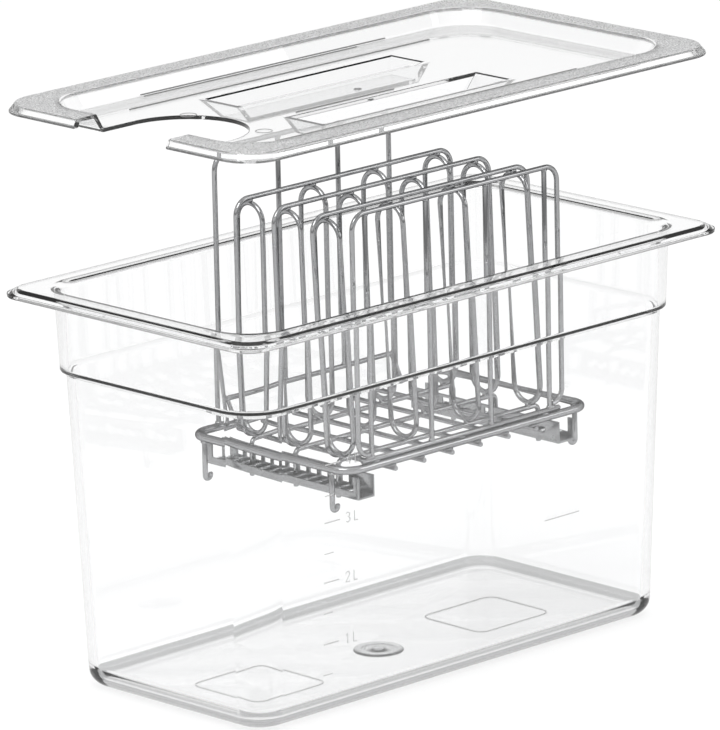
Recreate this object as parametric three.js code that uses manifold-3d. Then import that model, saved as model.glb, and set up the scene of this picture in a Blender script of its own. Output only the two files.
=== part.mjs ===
// Sous vide water bath: a clear container, a wire rack that holds pouches apart, and a clear lid with a
// notch for the circulator. The three are drawn apart, one above the other, and slide together along Z.
// Millimetres, +Z up. The origin is the middle of the container's base; X runs along its long side.

import * as THREE from 'three';
import { mergeVertices } from 'three/addons/utils/BufferGeometryUtils.js';
import Module from 'manifold-3d';

const wasm = await Module();
wasm.setup();

// Container.
const RIM_LENGTH = 325;
const RIM_WIDTH = 176;
const BATH_HEIGHT = 200;
const WALL = 3;
const FLOOR = 5;
const SHOULDER_HEIGHT = 158;
const RIM_CORNER = 12;
const BODY_CORNER = 22;

// Lid.
const LID_LENGTH = 320;
const LID_WIDTH = 178;
const LID_SHEET = 2;
const LID_LIP_BOTTOM = 286.3;
const LID_LIP_HEIGHT = 4.7;
const LID_RECESS = 7.7;
const LID_CORNER = 18;
const LID_RECESS_CORNER = 26;
const NOTCH_RADIUS = 32;
const NOTCH_DEPTH = 72.5;
const WELL_X = -2.5;
const WELL_LENGTH = 127;
const WELL_INNER_Y = 18;
const WELL_OUTER_Y = 41;
const WELL_DEPTH = 9;
const WELL_END_SLOPE = 8;
const WELL_SIDE_SLOPE = 6.5;

// Rack. Its group's origin is the middle of the base frame's wire.
const RACK_X = 16.5;
const RACK_Y = 1.3;
const RACK_Z = 113.3;
const FRAME_LENGTH = 167;
const FRAME_WIDTH = 106.5;
const FRAME_CORNER = 10;
const FRAME_WIRE = 4;
const THIN_WIRE = 2.5;
const FOOT_WIRE = 2.6;
const FOOT_DROP = 22;
const FOOT_Y = 43;
const CROSS_WIRES = 6;
const CROSS_PITCH = 19.4;
const CROSS_FIRST_X = -52.9;

// Rails.
const RAIL_INSET = 9;
const RAIL_LENGTH = 103;
const RAIL_WIDTH = 11;
const RAIL_HEIGHT = 11;
const RAIL_SHEET = 1;
const RAIL_LIP = 3.6;
const RAIL_POST = 3.5;
const RAIL_SLOT_PITCH = 7.4;
const DIVIDER_SLOTS = 4;

// Dividers: the ring rows stand across the divider's length.
const DIVIDER_FIRST_Y = 27;
const DIVIDER_LEANS = [0, 1.5, 3];
const DIVIDER_X = -2;
const DIVIDER_SPAN = 147;
const DIVIDER_TOP = 120;
const RING_PITCH = 42.8;
const RING_WIDTH = 17.5;

// Gates.
const GATE_PITCH = 40.8;
const FRONT_GATE_SPAN = 140;
const FRONT_GATE_TOP = 125.3;
const FRONT_GATE_X = -5.4;
const TALL_GATE_X = -5;
const TALL_INNER_X = -1.2;
const TALL_GATE_SPAN = 119;
const TALL_GATE_TOP = 138;
const TALL_GATE_LOWER = 15;
const BRACE_REACH = 7.7;

const GAP = 0.15;
const WIRE_SIDES = 8;
const CORNER_STEPS = 6;

const CLEAR_PLASTIC = { color: 0xe9eef0, roughness: 0.08, metalness: 0, transparent: true, opacity: 0.35 };
const STAINLESS = { color: 0xb9bcc0, roughness: 0.22, metalness: 1 };

function named(name, geometry, look) {
  const mesh = new THREE.Mesh(geometry, new THREE.MeshStandardMaterial(look));
  mesh.name = name;
  return mesh;
}

// ---- Booleans ----

function toManifold(geometry) {
  const bare = geometry.clone();
  bare.deleteAttribute('normal');
  bare.deleteAttribute('uv');
  const merged = mergeVertices(bare, 1e-4);
  return new wasm.Manifold(new wasm.Mesh({
    numProp: 3,
    vertProperties: new Float32Array(merged.attributes.position.array),
    triVerts: new Uint32Array(merged.index.array),
  }));
}

function toGeometry(solid) {
  const mesh = solid.getMesh();
  const geometry = new THREE.BufferGeometry();
  geometry.setAttribute('position', new THREE.BufferAttribute(mesh.vertProperties, 3));
  geometry.setIndex(new THREE.BufferAttribute(mesh.triVerts, 1));
  geometry.computeVertexNormals();
  return geometry;
}

// ---- Moulded shells ----

function ring(halfX, halfY, radius, z) {
  const points = [];
  for (let corner = 0; corner < 4; corner += 1) {
    const signX = corner === 0 || corner === 3 ? 1 : -1;
    const signY = corner < 2 ? 1 : -1;
    for (let step = 0; step <= CORNER_STEPS; step += 1) {
      const angle = (corner + step / CORNER_STEPS) * Math.PI / 2;
      points.push(new THREE.Vector3(
        signX * (halfX - radius) + radius * Math.cos(angle),
        signY * (halfY - radius) + radius * Math.sin(angle),
        z,
      ));
    }
  }
  return points;
}

// Skins a row of rings and closes the first and the last one with a flat face.
function loft(rings) {
  const size = rings[0].length;
  const positions = rings.flat().flatMap((point) => point.toArray());
  const index = [];
  for (let row = 0; row + 1 < rings.length; row += 1) {
    for (let i = 0; i < size; i += 1) {
      const a = row * size + i;
      const b = row * size + (i + 1) % size;
      index.push(a, b, b + size, a, b + size, a + size);
    }
  }
  const last = (rings.length - 1) * size;
  for (let i = 1; i + 1 < size; i += 1) {
    index.push(0, i + 1, i);
    index.push(last, last + i, last + i + 1);
  }
  const geometry = new THREE.BufferGeometry();
  geometry.setAttribute('position', new THREE.Float32BufferAttribute(positions, 3));
  geometry.setIndex(index);
  geometry.computeVertexNormals();
  return geometry;
}

// Points of a quarter round, as pairs of inset and height, from start angle to end angle in degrees.
function round(inset, height, radius, from, to, steps = 3) {
  const points = [];
  for (let step = 0; step <= steps; step += 1) {
    const angle = THREE.MathUtils.degToRad(from + (to - from) * step / steps);
    points.push([inset - radius * Math.cos(angle), height + radius * Math.sin(angle)]);
  }
  return points;
}

// Rings of a shell from its profile of [inset, height]; the corner radius goes over from the rim's to the
// body's between the two given insets.
function shellRings(length, width, profile, rimCorner, bodyCorner, rimInset, bodyInset) {
  return profile.map(([inset, height]) => {
    const blend = THREE.MathUtils.smoothstep(inset, rimInset, bodyInset);
    const grown = inset > bodyInset ? bodyCorner - (inset - bodyInset) * 0.7 : bodyCorner;
    const radius = THREE.MathUtils.lerp(rimCorner, grown, blend);
    return ring(length / 2 - inset, width / 2 - inset, radius, height);
  });
}

function container() {
  const bottomInset = 23.5;
  const neckInset = 17.2;
  const upperInset = 14.5;
  const collarInset = 13.2;
  const bottomRound = 9;
  const innerRound = bottomRound - 2;
  const lipRound = 4;
  const profile = [
    ...round(bottomInset + bottomRound, bottomRound, bottomRound, -90, 0),
    [neckInset, SHOULDER_HEIGHT - 1],
    [upperInset + 0.6, SHOULDER_HEIGHT + 0.6],
    [upperInset, SHOULDER_HEIGHT + 1.6],
    [collarInset, BATH_HEIGHT - 5],
    [collarInset - 1.6, BATH_HEIGHT - WALL],
    [3.2, BATH_HEIGHT - WALL],
    [2, BATH_HEIGHT - 4.3],
    [0.3, BATH_HEIGHT - 4.3],
    [0, BATH_HEIGHT - 4],
    [0.1, BATH_HEIGHT - 2.5],
    [2.2, BATH_HEIGHT - 0.9],
    [4.3, BATH_HEIGHT],
    ...round(collarInset + WALL - lipRound, BATH_HEIGHT - lipRound, -lipRound, -90, 0).map((p) => p),
    [upperInset + WALL, SHOULDER_HEIGHT + 2],
    [neckInset + WALL, SHOULDER_HEIGHT - 0.6],
    ...round(bottomInset + WALL + innerRound, FLOOR + innerRound, innerRound, 0, -90),
  ];
  const rings = shellRings(RIM_LENGTH, RIM_WIDTH, profile, RIM_CORNER, BODY_CORNER, 4, 14);
  return loft(rings);
}

// A block whose bottom and top faces are rectangles given as [x0, x1, y0, y1].
function wedge(bottom, top, z0, z1) {
  const corners = ([x0, x1, y0, y1], z) => [
    new THREE.Vector3(x0, y0, z),
    new THREE.Vector3(x1, y0, z),
    new THREE.Vector3(x1, y1, z),
    new THREE.Vector3(x0, y1, z),
  ];
  return loft([corners(bottom, z0), corners(top, z1)]);
}

// One finger well, on the +Y side when side is 1. Grow widens it all round, for the well's outer skin.
function well(side, floor, grow) {
  const half = WELL_LENGTH / 2 + grow;
  const slope = WELL_END_SLOPE;
  const near = WELL_INNER_Y - grow;
  const far = WELL_OUTER_Y + grow;
  const span = (inner, outer) => (side > 0 ? [inner, outer] : [-outer, -inner]);
  const top = [WELL_X - half, WELL_X + half, ...span(near, far)];
  const bottom = [WELL_X - half + slope, WELL_X + half - slope, ...span(near, far - WELL_SIDE_SLOPE)];
  return toManifold(wedge(bottom, top, floor - WELL_DEPTH, floor));
}

// The notch is open at the -X end and ends in a half circle.
function notch(left, z0, z1) {
  const outline = new THREE.Shape();
  const centre = left + NOTCH_DEPTH - NOTCH_RADIUS;
  outline.moveTo(left - 5, -NOTCH_RADIUS);
  outline.lineTo(centre, -NOTCH_RADIUS);
  outline.absarc(centre, 0, NOTCH_RADIUS, -Math.PI / 2, Math.PI / 2, false);
  outline.lineTo(left - 5, NOTCH_RADIUS);
  outline.closePath();
  const block = new THREE.ExtrudeGeometry(outline, {
    depth: z1 - z0, bevelEnabled: false, curveSegments: 20,
  });
  return toManifold(block.translate(0, 0, z0));
}

function lid() {
  const top = LID_LIP_BOTTOM + LID_LIP_HEIGHT;
  const floor = top - LID_RECESS;
  const flange = 14.8;
  const slope = 4.2;
  const profile = [
    [flange + slope + 2, floor - LID_SHEET],
    [flange + slope - 1.1, floor - LID_SHEET + 1.4],
    [flange - 1.2, top - LID_SHEET - 0.6],
    [flange - 2.2, top - LID_SHEET],
    [4.2, top - LID_SHEET],
    [2.4, LID_LIP_BOTTOM],
    [0, LID_LIP_BOTTOM],
    [0, LID_LIP_BOTTOM + 0.8],
    [2.1, top - 0.3],
    [2.7, top],
    [flange, top],
    [flange + 1, top - 0.6],
    [flange + slope, floor + 1],
    [flange + slope + 1.4, floor],
  ];
  const rings = shellRings(LID_LENGTH, LID_WIDTH, profile, LID_CORNER, LID_RECESS_CORNER, 4, flange);
  let solid = toManifold(loft(rings));
  for (const side of [1, -1]) {
    solid = solid.add(well(side, floor - LID_SHEET, LID_SHEET));
  }
  for (const side of [1, -1]) {
    solid = solid.subtract(well(side, floor + 1e-3, 0));
  }
  const left = -LID_LENGTH / 2;
  solid = solid.subtract(notch(left, floor - LID_SHEET - 1, top + 1));
  return toGeometry(solid);
}

// ---- Wires ----

// A path through listed points: a section lands on each point, and faces half-way round each bend.
class WirePath extends THREE.Curve {
  constructor(points) {
    super();
    this.points = points;
  }

  getPoint(t) {
    const position = t * (this.points.length - 1);
    const first = Math.min(Math.floor(position), this.points.length - 2);
    return this.points[first].clone().lerp(this.points[first + 1], position - first);
  }

  getPointAt(t) {
    return this.getPoint(t);
  }

  getTangentAt(t) {
    const last = this.points.length - 1;
    const i = Math.round(t * last);
    const closed = this.points[0].distanceTo(this.points[last]) < 1e-6;
    const before = i > 0 ? i - 1 : (closed ? last - 1 : 0);
    const after = i < last ? i + 1 : (closed ? 1 : last);
    const back = this.points[i].clone().sub(this.points[before]).normalize();
    const ahead = this.points[after].clone().sub(this.points[i]).normalize();
    return back.add(ahead).normalize();
  }

  getSpacedPoints() {
    return this.points;
  }
}

// A polyline with its inner corners rounded: each corner is [x, y, z, bend radius].
function bent(corners, steps = 5) {
  const spots = corners.map(([x, y, z]) => new THREE.Vector3(x, y, z));
  const points = [spots[0]];
  for (let i = 1; i + 1 < spots.length; i += 1) {
    const back = spots[i - 1].clone().sub(spots[i]).normalize();
    const ahead = spots[i + 1].clone().sub(spots[i]).normalize();
    const half = back.angleTo(ahead) / 2;
    const radius = corners[i][3];
    const centre = back.clone().add(ahead).normalize().multiplyScalar(radius / Math.sin(half)).add(spots[i]);
    const start = back.multiplyScalar(radius / Math.tan(half)).add(spots[i]).sub(centre);
    const end = ahead.multiplyScalar(radius / Math.tan(half)).add(spots[i]).sub(centre);
    const turn = new THREE.Quaternion();
    for (let step = 0; step <= steps; step += 1) {
      turn.setFromUnitVectors(start.clone().normalize(), end.clone().normalize());
      const part = new THREE.Quaternion().slerp(turn, step / steps);
      points.push(start.clone().applyQuaternion(part).add(centre));
    }
  }
  points.push(spots[spots.length - 1]);
  return points;
}

function wire(points, diameter) {
  const section = new THREE.Shape();
  section.absarc(0, 0, diameter / 2, 0, Math.PI * 2, false);
  return new THREE.ExtrudeGeometry(section, {
    extrudePath: new WirePath(points),
    steps: points.length - 1,
    curveSegments: WIRE_SIDES / 2,
    bevelEnabled: false,
  });
}

function loop(points, diameter) {
  const path = new WirePath([...points, points[0]]);
  const tube = new THREE.TubeGeometry(path, points.length, diameter / 2, WIRE_SIDES, true);
  tube.deleteAttribute('uv');
  tube.deleteAttribute('normal');
  const merged = mergeVertices(tube, 1e-3);
  merged.computeVertexNormals();
  return merged;
}

function straight(from, to, diameter) {
  return wire([new THREE.Vector3(...from), new THREE.Vector3(...to)], diameter);
}

// ---- Rack base ----

const HALF_LENGTH = FRAME_LENGTH / 2;
const HALF_WIDTH = FRAME_WIDTH / 2;
const CROSS_Z = -FRAME_WIRE / 2 - 2 * GAP - THIN_WIRE / 2;
const BASE_WIRE_Z = CROSS_Z + THIN_WIRE + 3 * GAP;
const RAIL_TOP = CROSS_Z - THIN_WIRE / 2 - 2 * GAP;
const RAIL_OUTER_X = HALF_LENGTH - RAIL_INSET;
const HOOK_X = RAIL_OUTER_X - RAIL_WIDTH / 2;

function dividerY(number) {
  return DIVIDER_FIRST_Y - number * DIVIDER_SLOTS * RAIL_SLOT_PITCH;
}

function rackBase() {
  const base = new THREE.Group();
  base.add(named('rack_frame', loop(ring(HALF_LENGTH, HALF_WIDTH, FRAME_CORNER, 0), FRAME_WIRE), STAINLESS));
  for (let i = 0; i < CROSS_WIRES; i += 1) {
    const x = CROSS_FIRST_X + i * CROSS_PITCH;
    const reach = HALF_WIDTH + FRAME_WIRE / 2 + 0.8;
    const bar = straight([x, -reach, CROSS_Z], [x, reach, CROSS_Z], THIN_WIRE);
    base.add(named(`cross_wire_${i + 1}`, bar, STAINLESS));
  }
  return base;
}

function foot(signX, signY) {
  const x = signX * (HALF_LENGTH + 0.3);
  const y = signY * FOOT_Y;
  const curl = 1.7;
  const bottom = -FOOT_DROP + FOOT_WIRE / 2;
  const centreZ = bottom + curl;
  const points = [new THREE.Vector3(x, y, -FRAME_WIRE / 2 - 2 * GAP), new THREE.Vector3(x, y, centreZ)];
  for (let step = 1; step <= 6; step += 1) {
    const angle = step / 6 * Math.PI * 1.15;
    points.push(new THREE.Vector3(
      x - signX * curl * (1 - Math.cos(angle)), y, centreZ - curl * Math.sin(angle),
    ));
  }
  return wire(points, FOOT_WIRE);
}

// A U-channel, open at the top. Its outer wall is a low lip between two end posts, and teeth across the
// channel keep the dividers at the slot pitch. The inner wall has a window at every slot.
function rail(sign) {
  const outer = sign * RAIL_OUTER_X;
  const inner = sign * (RAIL_OUTER_X - RAIL_WIDTH);
  const bottom = RAIL_TOP - RAIL_HEIGHT;
  const middle = (outer + inner) / 2;
  const block = (width, length, height, x, y, z) => toManifold(
    new THREE.BoxGeometry(width, length, height).translate(x, y, z),
  );
  let solid = block(RAIL_WIDTH, RAIL_LENGTH, RAIL_HEIGHT, middle, 0, bottom + RAIL_HEIGHT / 2);
  solid = solid.subtract(block(
    RAIL_WIDTH - 2 * RAIL_SHEET, RAIL_LENGTH + 2, RAIL_HEIGHT, middle, 0, bottom + RAIL_SHEET + RAIL_HEIGHT / 2,
  ));
  const open = RAIL_LENGTH - 2 * RAIL_POST;
  const above = RAIL_HEIGHT - RAIL_LIP;
  solid = solid.subtract(block(2 * RAIL_SHEET + 1, open, above + 1, outer, 0, bottom + RAIL_LIP + (above + 1) / 2));
  for (let slot = -3; slot <= 10; slot += 1) {
    const y = DIVIDER_FIRST_Y - slot * RAIL_SLOT_PITCH;
    const hooked = slot >= 0 && slot <= 8 && slot % DIVIDER_SLOTS === 0;
    if (Math.abs(y) < open / 2 - 2.5) {
      const height = hooked ? 5.6 : 3;
      solid = solid.subtract(block(3, hooked ? 5 : 4.6, height, inner, y, bottom + RAIL_LIP + 0.3 + height / 2));
    }
    const tooth = y - RAIL_SLOT_PITCH / 2;
    if (Math.abs(tooth) < open / 2 - 1.5) {
      solid = solid.add(block(RAIL_WIDTH, 2.2, 0.9, middle, tooth, bottom + RAIL_LIP - 0.45));
    }
    if (hooked) {
      solid = solid.subtract(block(5, THIN_WIRE + 1.4, 4, middle, y, bottom));
    }
  }
  return toGeometry(solid);
}

// ---- Gates and dividers ----

// An upside-down U from foot to foot.
function arch(half, x, y, z0, z1, bend) {
  return [
    [x - half, y, z0],
    [x - half, y, z1, bend],
    [x + half, y, z1, bend],
    [x + half, y, z0],
  ];
}

function frontGate() {
  const gate = new THREE.Group();
  const y = -HALF_WIDTH;
  const baseZ = FRAME_WIRE / 2 + GAP + THIN_WIRE / 2;
  const foot = baseZ + THIN_WIRE / 2 + GAP;
  const half = FRONT_GATE_SPAN / 2;
  const toe = half - 1.5 * GATE_PITCH - THIN_WIRE / 2 - 2 * GAP;
  const legs = bent([
    [FRONT_GATE_X - half + toe, y, foot + THIN_WIRE / 2],
    [FRONT_GATE_X - half, y, foot + THIN_WIRE / 2, toe - 0.2],
    [FRONT_GATE_X - half, y, FRONT_GATE_TOP, 8],
    [FRONT_GATE_X + half, y, FRONT_GATE_TOP, 8],
    [FRONT_GATE_X + half, y, foot + THIN_WIRE / 2, toe - 0.2],
    [FRONT_GATE_X + half - toe, y, foot + THIN_WIRE / 2],
  ]);
  gate.add(named('front_gate_frame', wire(legs, THIN_WIRE), STAINLESS));
  const reach = half - 2;
  const base = straight([FRONT_GATE_X - reach, y, baseZ], [FRONT_GATE_X + reach, y, baseZ], THIN_WIRE);
  gate.add(named('front_gate_base', base, STAINLESS));
  for (let i = 0; i < 4; i += 1) {
    const x = FRONT_GATE_X + (i - 1.5) * GATE_PITCH;
    const upright = straight([x, y, foot], [x, y, FRONT_GATE_TOP - THIN_WIRE / 2 - GAP], THIN_WIRE);
    gate.add(named(`front_gate_wire_${i + 1}`, upright, STAINLESS));
  }
  return gate;
}

function tallGate() {
  const gate = new THREE.Group();
  const y = HALF_WIDTH;
  const half = TALL_GATE_SPAN / 2;
  const foot = FRAME_WIRE / 2 + GAP;
  const frame = bent(arch(half, TALL_GATE_X, y, foot, TALL_GATE_TOP, 10));
  gate.add(named('tall_gate_frame', wire(frame, THIN_WIRE), STAINLESS));

  // The lower bar's ends turn inwards and down, and brace the gate's legs.
  const reach = half - THIN_WIRE - GAP;
  const bar = bent([
    [TALL_GATE_X - reach, y - BRACE_REACH, 0],
    [TALL_GATE_X - reach, y, TALL_GATE_LOWER, 2],
    [TALL_GATE_X + reach, y, TALL_GATE_LOWER, 2],
    [TALL_GATE_X + reach, y - BRACE_REACH, 0],
  ], 4);
  gate.add(named('tall_gate_lower_bar', wire(bar, THIN_WIRE), STAINLESS));
  for (let i = 0; i < 2; i += 1) {
    const x = TALL_INNER_X + (i - 0.5) * GATE_PITCH;
    const low = TALL_GATE_LOWER + THIN_WIRE / 2 + GAP;
    const upright = straight([x, y, low], [x, y, TALL_GATE_TOP - THIN_WIRE / 2 - GAP], THIN_WIRE);
    gate.add(named(`tall_gate_wire_${i + 1}`, upright, STAINLESS));
  }
  return gate;
}

// The base wire runs along the divider and its ends hook down into both rails.
function hookedBase() {
  const tip = RAIL_TOP - RAIL_HEIGHT - 3;
  return wire(bent([
    [-HOOK_X, 0, tip],
    [-HOOK_X, 0, BASE_WIRE_Z, 3],
    [HOOK_X, 0, BASE_WIRE_Z, 3],
    [HOOK_X, 0, tip],
  ], 4), THIN_WIRE);
}

function racetrack(halfWidth, z0, z1) {
  const points = [];
  for (const [centre, turn] of [[z1 - halfWidth, 0], [z0 + halfWidth, 1]]) {
    for (let step = 0; step <= 8; step += 1) {
      const angle = (turn + step / 8) * Math.PI;
      points.push(new THREE.Vector3(0, halfWidth * Math.cos(angle), centre + halfWidth * Math.sin(angle)));
    }
  }
  return points;
}

function divider(number) {
  const group = new THREE.Group();
  group.position.set(0, dividerY(number - 1), 0);
  group.add(named(`divider_${number}_base`, hookedBase(), STAINLESS));

  // Everything above the base wire leans a little towards +Y, as a loosely hooked divider does.
  const upper = new THREE.Group();
  upper.position.set(DIVIDER_X, 0, BASE_WIRE_Z);
  upper.rotation.x = THREE.MathUtils.degToRad(-DIVIDER_LEANS[number - 1]);
  group.add(upper);
  const low = THIN_WIRE + GAP;
  const top = DIVIDER_TOP - BASE_WIRE_Z;
  const half = DIVIDER_SPAN / 2;
  const firstRing = -1.5 * RING_PITCH;
  const toe = half + firstRing - THIN_WIRE / 2 - 2 * GAP;
  const frame = bent([
    [-half + toe, 0, low],
    [-half, 0, low, toe - 0.2],
    [-half, 0, top, 8],
    [half, 0, top, 8],
    [half, 0, low, toe - 0.2],
    [half - toe, 0, low],
  ]);
  upper.add(named(`divider_${number}_frame`, wire(frame, THIN_WIRE), STAINLESS));
  for (let i = 0; i < 4; i += 1) {
    const track = racetrack(RING_WIDTH / 2, low, top - THIN_WIRE - GAP);
    const mesh = named(`divider_${number}_ring_${i + 1}`, loop(track, THIN_WIRE), STAINLESS);
    mesh.position.x = firstRing + i * RING_PITCH;
    upper.add(mesh);
  }
  return group;
}

function rack() {
  const group = new THREE.Group();
  group.position.set(RACK_X, RACK_Y, RACK_Z);
  group.add(rackBase());
  group.add(named('rail_left', rail(-1), STAINLESS));
  group.add(named('rail_right', rail(1), STAINLESS));
  const corners = [[-1, 1], [-1, -1], [1, -1], [1, 1]];
  corners.forEach(([signX, signY], i) => {
    group.add(named(`foot_${i + 1}`, foot(signX, signY), STAINLESS));
  });
  group.add(tallGate());
  group.add(frontGate());
  for (let number = 1; number <= DIVIDER_LEANS.length; number += 1) {
    group.add(divider(number));
  }
  return group;
}

const bath = new THREE.Group();
bath.add(named('container', container(), CLEAR_PLASTIC));
bath.add(named('lid', lid(), CLEAR_PLASTIC));
bath.add(rack());

export default bath;
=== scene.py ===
"""Looks of a sous vide water bath: a clear pan, a wire rack for pouches and a clear notched lid.

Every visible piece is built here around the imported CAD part, in metres, in the part's own frame.
"""

import math

import bmesh
import bpy
from mathutils import Matrix, Quaternion, Vector

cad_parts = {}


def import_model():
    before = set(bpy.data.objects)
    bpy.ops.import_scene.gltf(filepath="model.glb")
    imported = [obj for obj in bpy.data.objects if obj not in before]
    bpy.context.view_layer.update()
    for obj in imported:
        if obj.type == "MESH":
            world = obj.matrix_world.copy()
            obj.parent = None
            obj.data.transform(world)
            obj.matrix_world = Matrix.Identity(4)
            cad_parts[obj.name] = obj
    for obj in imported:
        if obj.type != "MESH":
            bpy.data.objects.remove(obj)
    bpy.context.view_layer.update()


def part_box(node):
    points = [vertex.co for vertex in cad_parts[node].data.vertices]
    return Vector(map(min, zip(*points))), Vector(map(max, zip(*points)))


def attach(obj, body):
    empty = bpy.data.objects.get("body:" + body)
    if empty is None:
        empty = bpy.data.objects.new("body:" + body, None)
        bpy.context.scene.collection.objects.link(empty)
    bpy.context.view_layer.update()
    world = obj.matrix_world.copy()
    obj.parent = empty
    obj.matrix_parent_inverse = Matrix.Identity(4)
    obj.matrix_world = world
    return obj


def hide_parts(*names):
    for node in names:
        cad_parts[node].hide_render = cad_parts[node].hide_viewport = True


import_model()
MM = 0.001

# Camera: where it stands around the object, in degrees, and its lens.
AZIMUTH = -44.21
ELEVATION = 14.72
ROLL = -1.195
DISTANCE = 4.05
LENS = 414.2
SHIFT = (-0.0164, -0.0021)
TARGET = Vector((1.0, -2.2, 145.3)) * MM

CORNER_STEPS = 20
WIRE_SIDES = 16
BEND_STEPS = 10


# ---------------------------------------------------------------- materials


def new_material(name):
    material = bpy.data.materials.new(name)
    material.use_nodes = True
    nodes = material.node_tree.nodes
    nodes.clear()
    output = nodes.new("ShaderNodeOutputMaterial")
    return material, nodes, material.node_tree.links, output


def principled(nodes, **values):
    shader = nodes.new("ShaderNodeBsdfPrincipled")
    for name, value in values.items():
        shader.inputs[name.replace("_", " ")].default_value = value
    return shader


def object_position(nodes):
    """The point on the surface, in the object's own metres."""
    return nodes.new("ShaderNodeTexCoord").outputs["Object"]


def noise(nodes, links, position, scale, detail=3.0):
    texture = nodes.new("ShaderNodeTexNoise")
    texture.inputs["Scale"].default_value = scale
    texture.inputs["Detail"].default_value = detail
    links.new(position, texture.inputs["Vector"])
    return texture.outputs["Fac"]


def remap(nodes, links, value, low, high, to_low, to_high):
    node = nodes.new("ShaderNodeMapRange")
    node.inputs["From Min"].default_value = low
    node.inputs["From Max"].default_value = high
    node.inputs["To Min"].default_value = to_low
    node.inputs["To Max"].default_value = to_high
    links.new(value, node.inputs["Value"])
    return node.outputs["Result"]


def bump(nodes, links, height, strength, distance):
    node = nodes.new("ShaderNodeBump")
    node.inputs["Strength"].default_value = strength
    node.inputs["Distance"].default_value = distance
    links.new(height, node.inputs["Height"])
    return node.outputs["Normal"]


# Where the darkening of clear plastic starts and ends, as Layer Weight gives it.
GRAZING_START = 0.8
GRAZING_END = 1.0


def grazing_tint(nodes, links, face_on, grazing):
    """Clear plastic looks darker where it is seen along its surface."""
    weight = nodes.new("ShaderNodeLayerWeight")
    weight.inputs["Blend"].default_value = 0.5
    ramp = nodes.new("ShaderNodeValToRGB")
    ramp.color_ramp.elements[0].position = GRAZING_START
    ramp.color_ramp.elements[0].color = (*face_on, 1)
    ramp.color_ramp.elements[1].position = GRAZING_END
    ramp.color_ramp.elements[1].color = (*grazing, 1)
    links.new(weight.outputs["Facing"], ramp.inputs["Fac"])
    return ramp.outputs["Color"]


def let_lamps_through(nodes, links, shader, output, passed):
    """Light for the things behind clear plastic isn't stopped by it."""
    path = nodes.new("ShaderNodeLightPath")
    clear = nodes.new("ShaderNodeBsdfTransparent")
    clear.inputs["Color"].default_value = (passed, passed, passed, 1)
    mix = nodes.new("ShaderNodeMixShader")
    links.new(path.outputs["Is Shadow Ray"], mix.inputs["Fac"])
    links.new(shader.outputs[0], mix.inputs[1])
    links.new(clear.outputs["BSDF"], mix.inputs[2])
    links.new(mix.outputs["Shader"], output.inputs["Surface"])


def clear_plastic(name, face_on, grazing, haze=0.0):
    """Polished polycarbonate, with the faint flow waviness of a moulding."""
    material, nodes, links, output = new_material(name)
    shader = principled(nodes, Transmission_Weight=1.0, IOR=1.585, Roughness=haze)
    links.new(grazing_tint(nodes, links, face_on, grazing), shader.inputs["Base Color"])
    waves = noise(nodes, links, object_position(nodes), scale=60.0, detail=2.0)
    links.new(bump(nodes, links, waves, strength=0.02, distance=0.0001), shader.inputs["Normal"])
    let_lamps_through(nodes, links, shader, output, passed=0.96)
    return material


def stippled_plastic(name, face_on, grazing):
    """The same plastic with a spark-eroded texture: fine pits that scatter light."""
    material, nodes, links, output = new_material(name)
    shader = principled(nodes, Transmission_Weight=0.62, IOR=1.4)
    position = object_position(nodes)
    grain = noise(nodes, links, position, scale=1100.0, detail=2.0)
    speckle = remap(nodes, links, grain, low=0.35, high=0.65, to_low=0.22, to_high=0.5)
    links.new(speckle, shader.inputs["Roughness"])
    coarse = noise(nodes, links, position, scale=750.0, detail=1.0)
    pits = remap(nodes, links, coarse, low=0.38, high=0.62, to_low=0.72, to_high=1.12)
    shade = nodes.new("ShaderNodeVectorMath")
    shade.operation = "SCALE"
    links.new(grazing_tint(nodes, links, face_on, grazing), shade.inputs[0])
    links.new(pits, shade.inputs["Scale"])
    links.new(shade.outputs["Vector"], shader.inputs["Base Color"])
    links.new(bump(nodes, links, grain, strength=0.55, distance=0.0004), shader.inputs["Normal"])
    let_lamps_through(nodes, links, shader, output, passed=0.9)
    return material


def marked_plastic(name, shade):
    """Moulded marks on the clear plastic: half matt and painted grey as shade, so that they read as grey."""
    material, nodes, links, output = new_material(name)
    shader = principled(nodes, Roughness=0.5, Transmission_Weight=0.35, IOR=1.5)
    grain = noise(nodes, links, object_position(nodes), scale=700.0)
    dark = shade * 0.9
    ramp = nodes.new("ShaderNodeValToRGB")
    ramp.color_ramp.elements[0].color = (dark, dark, dark, 1)
    ramp.color_ramp.elements[1].color = (shade, shade, shade, 1)
    links.new(grain, ramp.inputs["Fac"])
    links.new(ramp.outputs["Color"], shader.inputs["Base Color"])
    links.new(shader.outputs["BSDF"], output.inputs["Surface"])
    return material


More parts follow.
